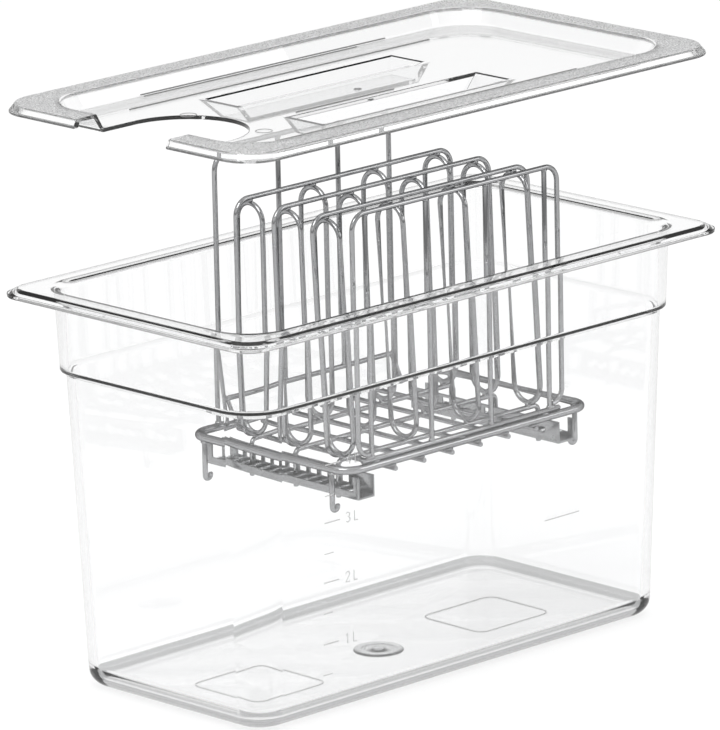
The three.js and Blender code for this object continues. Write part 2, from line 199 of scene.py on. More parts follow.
def stainless(name, base, smoothest, roughest, draw=(1.0, 1.0, 1.0), edge=1.0):
    """Stainless steel with fine drawing marks; edge tints its reflection at the grazing edge, and below 1 it
    paints that reflection darker.
    """
    material, nodes, links, output = new_material(name)
    shader = principled(nodes, Metallic=1.0)
    mapping = nodes.new("ShaderNodeMapping")
    mapping.inputs["Scale"].default_value = draw
    links.new(object_position(nodes), mapping.inputs["Vector"])
    fine = noise(nodes, links, mapping.outputs["Vector"], scale=900.0, detail=2.0)
    smear = noise(nodes, links, object_position(nodes), scale=45.0, detail=3.0)
    roughness = remap(nodes, links, smear, low=0.3, high=0.7, to_low=smoothest, to_high=roughest)
    links.new(roughness, shader.inputs["Roughness"])
    dulled = 0.86
    ramp = nodes.new("ShaderNodeValToRGB")
    ramp.color_ramp.elements[0].color = (*(c * dulled for c in base), 1)
    ramp.color_ramp.elements[1].color = (*base, 1)
    ramp.color_ramp.elements[0].position = 0.3
    ramp.color_ramp.elements[1].position = 0.6
    links.new(smear, ramp.inputs["Fac"])
    links.new(ramp.outputs["Color"], shader.inputs["Base Color"])
    shader.inputs["Specular Tint"].default_value = (edge, edge, edge, 1)
    links.new(bump(nodes, links, fine, strength=0.08, distance=0.0002), shader.inputs["Normal"])
    links.new(shader.outputs["BSDF"], output.inputs["Surface"])
    return material


BODY_PLASTIC = clear_plastic("clear_body", (0.99, 0.992, 0.994), (0.25, 0.255, 0.26))
# Dark tint of the container's foot band: painted shade.
BODY_FOOT_PAINTED_SHADE = clear_plastic("clear_body_foot", (0.3, 0.303, 0.306), (0.12, 0.123, 0.126), 0.08)
# Grey tint of the container's flat underside: painted shade.
BODY_UNDERSIDE_PAINTED_SHADE = clear_plastic("clear_body_underside_painted_shade", (0.7, 0.703, 0.706), (0.5, 0.503, 0.506), 0.05)
LID_PLASTIC = clear_plastic("clear_lid", (0.99, 0.992, 0.994), (0.22, 0.225, 0.23))
# Near black tint of the lid's cut lip edge: painted shade.
LID_EDGE_PAINTED_SHADE = clear_plastic("clear_lid_edge_painted_shade", (0.14, 0.142, 0.144), (0.08, 0.082, 0.084), 0.1)
LID_STIPPLE = stippled_plastic("lid_stipple", (0.74, 0.743, 0.746), (0.5, 0.505, 0.51))
# Grey of the litre scale and floor patch lines: painted shade, on a half matt finish.
MARKS_PAINTED_SHADE = marked_plastic("moulded_marks_painted_shade", 0.66)
# Dark grey of the ejector marks and ribs on the lid: painted shade.
GROOVES_PAINTED_SHADE = marked_plastic("moulded_grooves_painted_shade", 0.3)
# Grey tint of the gate nub: painted shade.
NUB_PAINTED_SHADE = clear_plastic("gate_nub", (0.72, 0.725, 0.73), (0.3, 0.305, 0.31), 0.15)
# Black edge tint: a painted dark reflection along the wires' flanks.
WIRE = stainless("stainless_wire", (0.4, 0.403, 0.41), 0.06, 0.14, edge=0.0)
# Bright steel of the rail's teeth: painted highlight, a lit copy of the rail's own steel.
TEETH_PAINTED_HIGHLIGHT = stainless("sheet_painted_highlight", (0.86, 0.87, 0.88), 0.1, 0.2)
# Dark steel of the rail's walls: painted shade, a shaded copy of the same steel.
RAIL_PAINTED_SHADE = stainless("stainless_sheet", (0.36, 0.365, 0.37), 0.18, 0.3, draw=(1.0, 0.06, 1.0), edge=0.6)


# ---------------------------------------------------------------- mesh tools


def finish_piece(name, mesh, materials, body, nodes=(), smooth=40.0, flat=False):
    """Puts a mesh in the scene: smooth is its sharp angle in degrees, flat evens out its large faces."""
    for material in materials:
        mesh.materials.append(material)
    mesh.validate()
    mesh.shade_smooth()
    mesh.set_sharp_from_angle(angle=math.radians(smooth))
    piece = bpy.data.objects.new(name, mesh)
    bpy.context.scene.collection.objects.link(piece)
    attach(piece, body)
    if nodes:
        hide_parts(*nodes)
    if flat:
        even = piece.modifiers.new("even_normals", "WEIGHTED_NORMAL")
        even.weight = 100
        even.keep_sharp = True


def mesh_of(name, vertices, faces):
    mesh = bpy.data.meshes.new(name)
    mesh.from_pydata([tuple(v) for v in vertices], [], faces)
    mesh.update()
    return mesh


def ring(half_x, half_y, radius, z, steps=CORNER_STEPS):
    """A rounded rectangle, counter-clockwise from the +X side."""
    points = []
    for corner in range(4):
        sign_x = 1 if corner in (0, 3) else -1
        sign_y = 1 if corner < 2 else -1
        for step in range(steps + 1):
            angle = (corner + step / steps) * math.pi / 2
            x = sign_x * (half_x - radius) + radius * math.cos(angle)
            y = sign_y * (half_y - radius) + radius * math.sin(angle)
            points.append(Vector((x, y, z)))
    return points


def loft(name, rings):
    """Skins a row of rings; the first and the last one get a flat face."""
    size = len(rings[0])
    vertices = [p for row in rings for p in row]
    faces = []
    for row in range(len(rings) - 1):
        for i in range(size):
            a, b = row * size + i, row * size + (i + 1) % size
            faces.append((a, b, b + size, a + size))
    faces.append(tuple(reversed(range(size))))
    last = (len(rings) - 1) * size
    faces.append(tuple(range(last, last + size)))
    return mesh_of(name, vertices, faces)


def fillet(corners, steps=6):
    """A profile of (inset, height, radius) corners, with an arc of that radius at each."""
    points = [Vector(c[:2]) for c in corners]
    out = [points[0]]
    for i in range(1, len(points) - 1):
        radius = corners[i][2]
        back = (points[i - 1] - points[i]).normalized()
        ahead = (points[i + 1] - points[i]).normalized()
        half = back.angle(ahead) / 2
        if radius <= 0 or half > math.pi / 2 - 0.01:
            out.append(points[i])
            continue
        reach = radius / math.tan(half)
        centre = points[i] + (back + ahead).normalized() * radius / math.sin(half)
        start = points[i] + back * reach - centre
        end = points[i] + ahead * reach - centre
        turn = start.angle_signed(end)
        for step in range(steps + 1):
            arm = start.copy()
            arm.rotate(Matrix.Rotation(-turn * step / steps, 2))
            out.append(centre + arm)
    out.append(points[-1])
    return out


def smoothstep(value, low, high):
    t = min(1.0, max(0.0, (value - low) / (high - low)))
    return t * t * (3 - 2 * t)


def shell(name, half_x, half_y, profile, rim_corner, body_corner, rim_inset, body_inset):
    """A moulding's skin: its profile swept round a rounded rectangle, corner radius by inset."""
    rings = []
    for inset, height in profile:
        grown = body_corner - max(0.0, inset - body_inset) * 0.7
        blend = smoothstep(inset, rim_inset, body_inset)
        radius = rim_corner + (grown - rim_corner) * blend
        rings.append(ring((half_x - inset) * MM, (half_y - inset) * MM, radius * MM, height * MM))
    return loft(name, rings)


def bent(corners, steps=BEND_STEPS):
    """A polyline whose inner corners (x, y, z, bend radius) are rounded."""
    spots = [Vector(c[:3]) for c in corners]
    points = [spots[0]]
    for i in range(1, len(spots) - 1):
        back = (spots[i - 1] - spots[i]).normalized()
        ahead = (spots[i + 1] - spots[i]).normalized()
        half = back.angle(ahead) / 2
        radius = corners[i][3]
        centre = spots[i] + (back + ahead).normalized() * radius / math.sin(half)
        start = spots[i] + back * radius / math.tan(half) - centre
        end = spots[i] + ahead * radius / math.tan(half) - centre
        turn = start.rotation_difference(end)
        for step in range(steps + 1):
            arm = start.copy()
            arm.rotate(Quaternion().slerp(turn, step / steps))
            points.append(centre + arm)
    points.append(spots[-1])
    return points


# A wire end's dome: its height by the wire's radius, and its rows as (share of radius, share of height).
DOME_HEIGHT = 0.35
DOME_ROWS = ((0.55, 0.0), (0.88, 0.3))


def domed(rows, tangents, radius):
    """The rows of an open wire with both ends drawn in."""
    tip = radius * DOME_HEIGHT
    start, start_side, start_other, _ = rows[0]
    end, end_side, end_other, _ = rows[-1]
    head = []
    tail = []
    for share, rise in DOME_ROWS:
        head.append((start + tangents[0] * tip * rise, start_side, start_other, radius * share))
        tail.insert(0, (end - tangents[-1] * tip * rise, end_side, end_other, radius * share))
    first = (start + tangents[0] * tip, start_side, start_other, radius)
    last = (end - tangents[-1] * tip, end_side, end_other, radius)
    return head + [first] + rows[1:-1] + [last] + tail


def sweep(points, radius, closed=False, sides=WIRE_SIDES):
    """Vertices and faces of a round wire along points; an open wire's ends are domed."""
    count = len(points)
    tangents = []
    for i, point in enumerate(points):
        before = points[i - 1] if (i > 0 or closed) else point
        after = points[(i + 1) % count] if (i + 1 < count or closed) else point
        back = (point - before).normalized() if point != before else Vector()
        ahead = (after - point).normalized() if after != point else Vector()
        tangents.append((back + ahead).normalized())
    side = tangents[0].orthogonal().normalized()
    rows = []
    for i, (point, tangent) in enumerate(zip(points, tangents)):
        if i:
            side.rotate(tangents[i - 1].rotation_difference(tangent))
        side = (side - tangent * side.dot(tangent)).normalized()
        rows.append((point, side.copy(), tangent.cross(side), radius))
    if not closed:
        rows = domed(rows, tangents, radius)
    vertices, faces = [], []
    for centre, u, v, size in rows:
        for k in range(sides):
            angle = 2 * math.pi * k / sides
            vertices.append(centre + (u * math.cos(angle) + v * math.sin(angle)) * size)
    total = len(rows)
    shift = 0
    if closed:
        first = vertices[:sides]
        shift = min(range(sides), key=lambda k: (first[k] - vertices[-sides]).length)
    for row in range(total if closed else total - 1):
        for k in range(sides):
            a = row * sides + k
            b = row * sides + (k + 1) % sides
            if row + 1 < total:
                faces.append((a, b, b + sides, a + sides))
            else:
                faces.append((a, b, (k + 1 + shift) % sides, (k + shift) % sides))
    if not closed:
        faces.append(tuple(reversed(range(sides))))
        faces.append(tuple(range((total - 1) * sides, total * sides)))
    return vertices, faces


def joined(parts):
    """The vertices and faces of many parts as one."""
    vertices, faces = [], []
    for more, cells in parts:
        start = len(vertices)
        vertices += more
        faces += [tuple(i + start for i in cell) for cell in cells]
    return vertices, faces


def wire_piece(name, points, radius, body, closed=False):
    """A round wire that stands for the node of the same name without _look."""
    mesh = mesh_of(name, *sweep(points, radius, closed))
    finish_piece(name, mesh, [WIRE], body, [name.removesuffix("_look")], 50)


def bead(centre, size, rings=6, sides=10):
    """A weld's small rounded blob; size gives its three half widths in millimetres."""
    wide, deep, tall = (half * MM for half in size)
    vertices, faces = [Vector(centre) + Vector((0, 0, tall))], []
    for row in range(1, rings):
        tilt = math.pi * row / rings
        for k in range(sides):
            angle = 2 * math.pi * k / sides
            vertices.append(Vector(centre) + Vector((
                wide * math.sin(tilt) * math.cos(angle),
                deep * math.sin(tilt) * math.sin(angle),
                tall * math.cos(tilt),
            )))
    vertices.append(Vector(centre) - Vector((0, 0, tall)))
    last = len(vertices) - 1
    for k in range(sides):
        faces.append((0, 1 + k, 1 + (k + 1) % sides))
        faces.append((last, last - sides + (k + 1) % sides, last - sides + k))
    for row in range(rings - 2):
        for k in range(sides):
            a = 1 + row * sides + k
            b = 1 + row * sides + (k + 1) % sides
            faces.append((a, a + sides, b + sides, b))
    return vertices, faces


# ---------------------------------------------------------------- container


# The container's foot, between these heights in millimetres, gets a dark painted shade, and its flat underside
# a grey painted shade.
FOOT_SHADE_START = 0.3
FOOT_SHADE_END = 6.8
UNDERSIDE_SHADE_END = 0.4
FOOT_SHADE_MATERIAL = 1
UNDERSIDE_SHADE_MATERIAL = 2


def container():
    _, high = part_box("container")
    half_x, half_y, top = high.x / MM, high.y / MM, high.z / MM
    # Inset from the rim's edge, height and corner radius, from the outside of the floor to its inside.
    profile = fillet([
        (36, 0, 0), (23.5, 0, 9), (17.2, 157.2, 0.8), (14.5, 159.2, 0.8), (13.2, 196.9, 1.2),
        (3.8, 197, 0.8), (2.8, 195.7, 0.5), (0.1, 195.7, 0.4), (0, 197.6, 0.5), (4.2, top, 1.3),
        (16.2, top, 4), (17.4, 160.4, 1.6), (20, 158, 1.6), (26.5, 5, 7), (40, 5, 0),
    ])
    mesh = shell(
        "container_look", half_x, half_y, profile,
        rim_corner=12, body_corner=22, rim_inset=4, body_inset=14,
    )
    # The foot band gets the dark painted shade, the flat underside the grey painted shade.
    for face in mesh.polygons:
        z, up = face.center.z, face.normal.z
        if up < 0.05 and FOOT_SHADE_START * MM < z < FOOT_SHADE_END * MM:
            face.material_index = FOOT_SHADE_MATERIAL
        elif up < -0.9 and z < UNDERSIDE_SHADE_END * MM:
            face.material_index = UNDERSIDE_SHADE_MATERIAL
    finish_piece(
        "container_look", mesh, [BODY_PLASTIC, BODY_FOOT_PAINTED_SHADE, BODY_UNDERSIDE_PAINTED_SHADE], "container",
        ["container"], 60, True,
    )


def panel(corner, across, up, width, height, lift):
    """A thin raised strip: corner, two directions, its size and how far it stands proud."""
    out = Vector(across).cross(Vector(up)).normalized() * lift
    a, b = Vector(across).normalized() * width, Vector(up).normalized() * height
    base = Vector(corner)
    low = [base, base + a, base + a + b, base + b]
    inset = [p + out for p in low]
    faces = [(3, 2, 1, 0), (4, 5, 6, 7), (0, 1, 5, 4), (1, 2, 6, 5), (2, 3, 7, 6), (3, 0, 4, 7)]
    return low + inset, faces


# The signs of the litre scale, each one stroke in a box one wide and one high.
STROKES = {
    "1": [(0.3, 0.8), (0.6, 1.0), (0.6, 0.0)],
    "2": [(0.1, 0.8), (0.3, 1.0), (0.7, 1.0), (0.9, 0.75), (0.1, 0.0), (0.9, 0.0)],
    "3": [
        (0.1, 0.9), (0.4, 1.0), (0.8, 0.85), (0.75, 0.6), (0.4, 0.52), (0.8, 0.42), (0.85, 0.15),
        (0.4, 0.0), (0.1, 0.1),
    ],
    "4": [(0.7, 0.0), (0.7, 1.0), (0.1, 0.3), (0.95, 0.3)],
    "L": [(0.15, 1.0), (0.15, 0.0), (0.8, 0.0)],
}


SIGN_WIDTH = 3.4
SIGN_HEIGHT = 5
SIGN_PITCH = 5.4
SIGN_LEFT = -83
SIGN_DROP = 2.2
SIGN_LINE = 0.26
SCALE_LEFT = -97
LITRE_HEIGHTS = {1: 36, 2: 67, 3: 97, 4: 126}
HALF_LITRE = 15.5
LOWEST_MARK = 15
PROUD = 0.02


def wall_y(z):
    """How far out the long outer wall stands at a height, in millimetres."""
    half_width = 88
    low_inset, low_height = 23.3, 9
    wall_height, draft = 148, 6.1
    return -(half_width - low_inset + (z - low_height) / wall_height * draft)


def wall_line(x, z, length, width, lift):
    """A raised level line on the long wall, from x towards +X, in millimetres."""
    corner = (x * MM, (wall_y(z) - PROUD) * MM, z * MM)
    return panel(corner, (1, 0, 0), (0, 0, 1), length * MM, width * MM, lift * MM)


def wall_sign(sign, left, z):
    """One sign of the scale, as a thin round line that stands out of the long wall."""
    y = wall_y(z) - PROUD - 0.1
    line = [
        Vector(((left + across * SIGN_WIDTH) * MM, y * MM, (z - SIGN_DROP + up * SIGN_HEIGHT) * MM))
        for across, up in STROKES[sign]
    ]
    return sweep(line, SIGN_LINE * MM, sides=6)


def wall_marks():
    """The litre scale moulded on the long wall, and the line at its other end."""
    parts = []
    for litre, z in LITRE_HEIGHTS.items():
        parts.append(wall_line(SCALE_LEFT, z, length=10, width=0.55, lift=0.22))
        if z - HALF_LITRE > LOWEST_MARK:
            parts.append(wall_line(SCALE_LEFT, z - HALF_LITRE, length=6, width=0.45, lift=0.2))
        for place, sign in enumerate(str(litre) + "L"):
            parts.append(wall_sign(sign, SIGN_LEFT + place * SIGN_PITCH, z))
    parts.append(wall_line(54, 66, length=24, width=0.5, lift=0.2))
    mesh = mesh_of("wall_marks", *joined(parts))
    finish_piece("wall_marks", mesh, [MARKS_PAINTED_SHADE], "container", smooth=30)


# The floor's marks stand just above it, in millimetres.
PAN_FLOOR = 5.02
PATCH_CORNER = 6
PATCH_BORDER = 0.7
PATCH_RISE = 0.35
PATCH_STEPS = 8


def floor_patch(name, centre, size):
    """The raised edge of a rounded rectangular patch on the pan's floor, in millimetres."""
    half_x, half_y = size[0] / 2, size[1] / 2
    inside = PATCH_CORNER - PATCH_BORDER
    outer = ring(half_x, half_y, PATCH_CORNER, PAN_FLOOR, PATCH_STEPS)
    inner = ring(half_x - PATCH_BORDER, half_y - PATCH_BORDER, inside, PAN_FLOOR, PATCH_STEPS)
    lift = Vector((0, 0, PATCH_RISE))
    rows = [outer, [p + lift for p in outer], [p + lift for p in inner], inner]
    vertices = [(p + Vector((centre[0], centre[1], 0))) * MM for row in rows for p in row]
    count = len(outer)
    faces = []
    for row in range(len(rows)):
        start, beyond = row * count, (row + 1) % len(rows) * count
        for i in range(count):
            after = (i + 1) % count
            faces.append((start + i, start + after, beyond + after, beyond + i))
    mesh = mesh_of(name, vertices, faces)
    finish_piece(name, mesh, [MARKS_PAINTED_SHADE], "container", smooth=30)


def gate_nub():
    """The round mark left by the moulding gate, in the middle of the floor."""
    x, y = -12, -14.5
    sides = 40
    # Radius and height, in millimetres.
    profile = [
        (12.5, PAN_FLOOR), (12.3, 5.45), (11.2, 5.75), (8.5, 5.45), (4.5, 5.3), (3.0, 5.8), (1.4, 6.3),
        (0.05, 6.4),
    ]
    rows = []
    for radius, z in profile:
        turns = [2 * math.pi * k / sides for k in range(sides)]
        rows.append([Vector((radius * math.cos(a) + x, radius * math.sin(a) + y, z)) * MM for a in turns])
    # The nub's grey tint is painted shade.
    finish_piece("gate_nub", loft("gate_nub", rows), [NUB_PAINTED_SHADE], "container")


# ---------------------------------------------------------------- lid


def solid_object(mesh):
    """A mesh as a working object, to be cut or rounded."""
    piece = bpy.data.objects.new(mesh.name, mesh)
    bpy.context.scene.collection.objects.link(piece)
    return piece


def wedge(name, bottom, top, z0, z1):
    """A tapered block between two rectangles (x0, x1, y0, y1) at two heights, in millimetres."""
    rows = []
    for (x0, x1, y0, y1), z in ((bottom, z0), (top, z1)):
        rows.append([Vector((x, y, z)) * MM for x, y in ((x0, y0), (x1, y0), (x1, y1), (x0, y1))])
    return solid_object(loft(name, rows))


# A finger well: where it starts and ends, how deep it is and how far its walls lean, in millimetres.
WELL_START = -66
WELL_END = 61
WELL_NEAR = 18
WELL_FAR = 41
WELL_DEPTH = 9
WELL_END_LEAN = 8
WELL_FAR_LEAN = 6.5


def well(side, floor, grow):
    """The block of a finger well on the +Y (1) or -Y (-1) side, grown all round."""
    x0, x1 = WELL_START - grow, WELL_END + grow
    near, far = WELL_NEAR - grow, WELL_FAR + grow
    deep = far - WELL_FAR_LEAN
    top = [x0, x1, near, far] if side > 0 else [x0, x1, -far, -near]
    x0, x1 = x0 + WELL_END_LEAN, x1 - WELL_END_LEAN
    low = [x0, x1, near, deep] if side > 0 else [x0, x1, -deep, -near]
    return wedge("well", low, top, floor - WELL_DEPTH, floor)


NOTCH_REACH = 40.5
NOTCH_RADIUS = 32
NOTCH_STEPS = 48
NOTCH_PAST = 5


def notch(left, z0, z1):
    """The circulator's U-shaped notch as a block, from beyond the lid's left edge, in millimetres."""
    centre = left + NOTCH_REACH
    outline = [Vector((left - NOTCH_PAST, -NOTCH_RADIUS, 0))]
    for step in range(NOTCH_STEPS + 1):
        angle = -math.pi / 2 + math.pi * step / NOTCH_STEPS
        x, y = centre + NOTCH_RADIUS * math.cos(angle), NOTCH_RADIUS * math.sin(angle)
        outline.append(Vector((x, y, 0)))
    outline.append(Vector((left - NOTCH_PAST, NOTCH_RADIUS, 0)))
    rows = [[(p + Vector((0, 0, z))) * MM for p in outline] for z in (z0, z1)]
    return solid_object(loft("notch", rows))


def applied(target):
    """The mesh of a working object with its modifiers; the object goes."""
    depsgraph = bpy.context.evaluated_depsgraph_get()
    made = bpy.data.meshes.new_from_object(target.evaluated_get(depsgraph))
    bpy.data.objects.remove(target)
    return made


def combine(target, cutter, operation):
    """Target and cutter as one working object."""
    step = target.modifiers.new("step", "BOOLEAN")
    step.operation = operation
    step.solver = "EXACT"
    step.object = cutter
    made = applied(target)
    bpy.data.objects.remove(cutter)
    return solid_object(made)


def bevelled(target, width, segments, limit):
    """The target's mesh with its edges sharper than limit degrees rounded."""
    step = target.modifiers.new("round", "BEVEL")
    step.width = width
    step.segments = segments
    step.limit_method = "ANGLE"
    step.angle_limit = math.radians(limit)
    return applied(target)


# The lid's heights below its top, and its sheet, in millimetres.
LID_RECESS = 7.7
LID_LIP = 4.7
LID_THICKNESS = 2
LID_FLANGE = 14.2
LID_CORNER = 9
# How far in from the lid's edge its lip gets the dark painted shade.
LID_EDGE_SHADE_WIDTH = 3.4
STIPPLE_MATERIAL = 1
EDGE_SHADE_MATERIAL = 2
WELD_DISTANCE = 2e-5


def lid_blank(half_x, half_y, top):
    """The lid before its wells and notch are cut."""
    floor = top - LID_RECESS
    under = floor - LID_THICKNESS
    inside = top - LID_THICKNESS
    lip = top - LID_LIP
    # Inset from the lid's edge, height and corner radius, from the underside of the floor to its top.
    profile = fillet([
        (30, under, 0), (18.6, under, 2), (13.6, inside, 1.5), (4.4, inside, 0.8),
        (3.2, lip, 0.5), (0, lip, 0.3), (0.1, lip + 1, 0.4), (2.3, top, 1.0), (15.1, top, 1.2),
        (19.6, floor, 1.8), (32, floor, 0),
    ])
    return solid_object(shell(
        "lid_blank", half_x, half_y, profile,
        rim_corner=18, body_corner=26, rim_inset=4, body_inset=14.8,
    ))


def lid_looks(mesh, half_x, half_y, top):
    """Stipple on top of the lid's flange, and a dark painted shade on the cut edge of the lip."""
    lip = top - LID_LIP
    inner_x, inner_y = (half_x - LID_FLANGE) * MM, (half_y - LID_FLANGE) * MM
    shaded_edge_x, shaded_edge_y = (half_x - LID_EDGE_SHADE_WIDTH) * MM, (half_y - LID_EDGE_SHADE_WIDTH) * MM
    corner_x, corner_y = inner_x - LID_CORNER * MM, inner_y - LID_CORNER * MM
    for face in mesh.polygons:
        x, y, z = abs(face.center.x), abs(face.center.y), face.center.z
        outside = x > inner_x or y > inner_y
        corner = x > corner_x and y > corner_y
        at_lip = (lip - 0.2) * MM < z < (lip + 1.1) * MM
        if face.normal.z > 0.8 and z > (top - 0.6) * MM and (outside or corner):
            face.material_index = STIPPLE_MATERIAL
        elif outside and at_lip and (x > shaded_edge_x or y > shaded_edge_y):
            face.material_index = EDGE_SHADE_MATERIAL


def lid():
    _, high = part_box("lid")
    half_x, half_y, top = high.x / MM, high.y / MM, high.z / MM
    floor = top - LID_RECESS
    under = floor - LID_THICKNESS
    piece = lid_blank(half_x, half_y, top)
    for side in (1, -1):
        piece = combine(piece, well(side, under + 0.01, grow=1.9), "UNION")
    for side in (1, -1):
        piece = combine(piece, well(side, floor + PROUD, grow=0), "DIFFERENCE")
    piece = combine(piece, notch(-half_x, under - 12, top + 2), "DIFFERENCE")
    work = bmesh.new()
    work.from_mesh(piece.data)
    bmesh.ops.remove_doubles(work, verts=work.verts, dist=WELD_DISTANCE)
    work.to_mesh(piece.data)
    work.free()
    mesh = bevelled(piece, 0.5 * MM, segments=2, limit=35)
    mesh.name = "lid_look"
    mesh.materials.clear()
    materials = [LID_PLASTIC, LID_STIPPLE, LID_EDGE_PAINTED_SHADE]
    finish_piece("lid_look", mesh, materials, "lid", ["lid"], 45, True)
    lid_looks(mesh, half_x, half_y, top)


def gate_marks():
    """Small round ejector marks on the lid's floor."""
    parts = []
    sides = 28
    _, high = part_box("lid")
    z = high.z - LID_RECESS * MM + PROUD * MM
    # Where each mark is, and its radius, in millimetres.
    for x, y, radius in ((-95, 21.5, 4), (-94.8, -30.6, 4), (-3, -0.5, 1.8), (-3, -0.5, 1.2)):
        points = []
        for k in range(sides):
            angle = 2 * math.pi * k / sides
            across, ahead = radius * MM * math.cos(angle), radius * MM * math.sin(angle)
            points.append(Vector((x * MM + across, y * MM + ahead, z)))
        parts.append(sweep(points, 0.22 * MM, closed=True, sides=6))
    mesh = mesh_of("lid_ejector_marks", *joined(parts))
    # Their dark grey is painted shade.
    finish_piece("lid_ejector_marks", mesh, [GROOVES_PAINTED_SHADE], "lid")


# Start and end in x, then y, height above the lid's floor and width, in millimetres.
RIBS = (
    (-106, 97, 50.5, PROUD, 0.8),
    (-106, 97, -51.3, PROUD, 0.8),
    (-82, 84, 68.6, 0.3, 0.7),
    (-82, 62, 66.2, PROUD, 0.5),
    (-58, 8, -14.6, PROUD, 0.5),
)


def lid_ribs():
    """Long thin stiffening ribs on the lid's floor and at the foot of its walls."""
    _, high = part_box("lid")
    floor = high.z / MM - LID_RECESS
    parts = []
    for x0, x1, y, rise, width in RIBS:
        corner = (x0 * MM, y * MM, (floor + rise) * MM)
        parts.append(panel(corner, (1, 0, 0), (0, 1, 0), (x1 - x0) * MM, width * MM, 0.5 * MM))
    mesh = mesh_of("lid_ribs", *joined(parts))
    # Their dark grey is painted shade.
    finish_piece("lid_ribs", mesh, [GROOVES_PAINTED_SHADE], "lid", smooth=30)


# ---------------------------------------------------------------- rack


def centre_of(node):
    low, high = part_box(node)
    return (low + high) / 2


def along(node):
    """The centre line of a straight wire from its box."""
    low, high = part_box(node)
    middle, size = (low + high) / 2, high - low
    axis = max(range(3), key=lambda i: size[i])
    start, end = middle.copy(), middle.copy()
    start[axis], end[axis] = low[axis], high[axis]
    return [start, end]


# Radii of the thin wires and of the rack frame's thick one.
THIN = 1.25 * MM
THICK = 2 * MM

# Radius of the feet's wire, and the curl at their ends.


FOOT_WIRE = 1.3 * MM
FOOT_CURL = 1.7 * MM
FOOT_STEPS = 14
FOOT_TURN = 1.15

# Gaps that the CAD leaves between a divider's welded wires.
WELD_GAP = 0.15 * MM

# Half widths of the weld beads, in millimetres.
CROSS_WELD = (1.9, 2.2, 0.9)
FOOT_WELD = (1.8, 2.4, 1.1)
GATE_TOP_WELD = (1.75, 1.6, 0.9)
GATE_BASE_WELD = (1.75, 1.6, 1.2)
GATE_TOE_WELD = (2.2, 1.6, 1.1)
GATE_UNDER_WELD = (2.4, 1.7, 0.8)
TALL_WIRE_WELD = (1.75, 1.6, 1.0)
TALL_BRACE_WELD = (1.2, 1.7, 1.9)
TALL_FOOT_WELD = (1.8, 1.9, 1.0)
RING_TOP_WELD = (1.8, 1.5, 1.0)
RING_FOOT_WELD = (1.8, 1.5, 1.4)


def rack_base():
    """The thick frame, its cross wires and its feet; returns their weld beads."""
    low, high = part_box("rack_frame")
    centre, half = (low + high) / 2, (high - low) / 2
    outline = ring(half.x - THICK, half.y - THICK, 10 * MM, 0, 14)
    wire_piece("rack_frame_look", [p + centre for p in outline], THICK, "rack", closed=True)
    beads = []
    for i in range(1, 7):
        name = f"cross_wire_{i}"
        line = along(name)
        wire_piece(name + "_look", line, THIN, "rack")
        for y in (centre.y - half.y + THICK, centre.y + half.y - THICK):
            beads.append(bead((line[0].x, y, centre.z - THICK - 0.1 * MM), CROSS_WELD))
    for i in range(1, 5):
        beads.append(foot(f"foot_{i}", centre))
    return beads


def foot(name, centre):
    """A straight leg whose end curls inwards; returns its weld bead."""
    low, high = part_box(name)
    sign = 1 if low.x > centre.x else -1
    x = high.x - FOOT_WIRE if sign > 0 else low.x + FOOT_WIRE
    y = (low.y + high.y) / 2
    z = low.z + FOOT_WIRE + FOOT_CURL
    points = [Vector((x, y, high.z)), Vector((x, y, z))]
    for step in range(1, FOOT_STEPS + 1):
        angle = step / FOOT_STEPS * math.pi * FOOT_TURN
        inwards = sign * FOOT_CURL * (1 - math.cos(angle))
        points.append(Vector((x - inwards, y, z - FOOT_CURL * math.sin(angle))))
    wire_piece(name + "_look", points, FOOT_WIRE, "rack")
    return bead((x, y, centre.z - THICK), FOOT_WELD)


def front_gate():
    """The low gate on the -Y side; returns its weld beads."""
    low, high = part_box("front_gate_frame")
    y = (low.y + high.y) / 2
    x0, x1, z0, z1 = low.x + THIN, high.x - THIN, low.z + THIN, high.z - THIN
    toe = 7.25 * MM
    toe_bend, top_bend = 7 * MM, 8 * MM
    wire_margin = 12 * MM
    path = bent([
        (x0 + toe, y, z0), (x0, y, z0, toe_bend), (x0, y, z1, top_bend),
        (x1, y, z1, top_bend), (x1, y, z0, toe_bend), (x1 - toe, y, z0),
    ])
    wire_piece("front_gate_frame_look", path, THIN, "rack")
    wire_piece("front_gate_base_look", along("front_gate_base"), THIN, "rack")
    beads = []
    base_z = centre_of("front_gate_base").z
    for i in range(1, 5):
        name = f"front_gate_wire_{i}"
        line = along(name)
        wire_piece(name + "_look", line, THIN, "rack")
        for z, size in ((z1 - THIN, GATE_TOP_WELD), (base_z + THIN, GATE_BASE_WELD)):
            beads.append(bead((line[0].x, y, z), size))
    for x in (x0 + toe, x1 - toe):
        beads.append(bead((x, y, base_z + THIN), GATE_TOE_WELD))
    for x in (x0 + wire_margin, (x0 + x1) / 2, x1 - wire_margin):
        beads.append(bead((x, y, base_z - THIN), GATE_UNDER_WELD))
    return beads


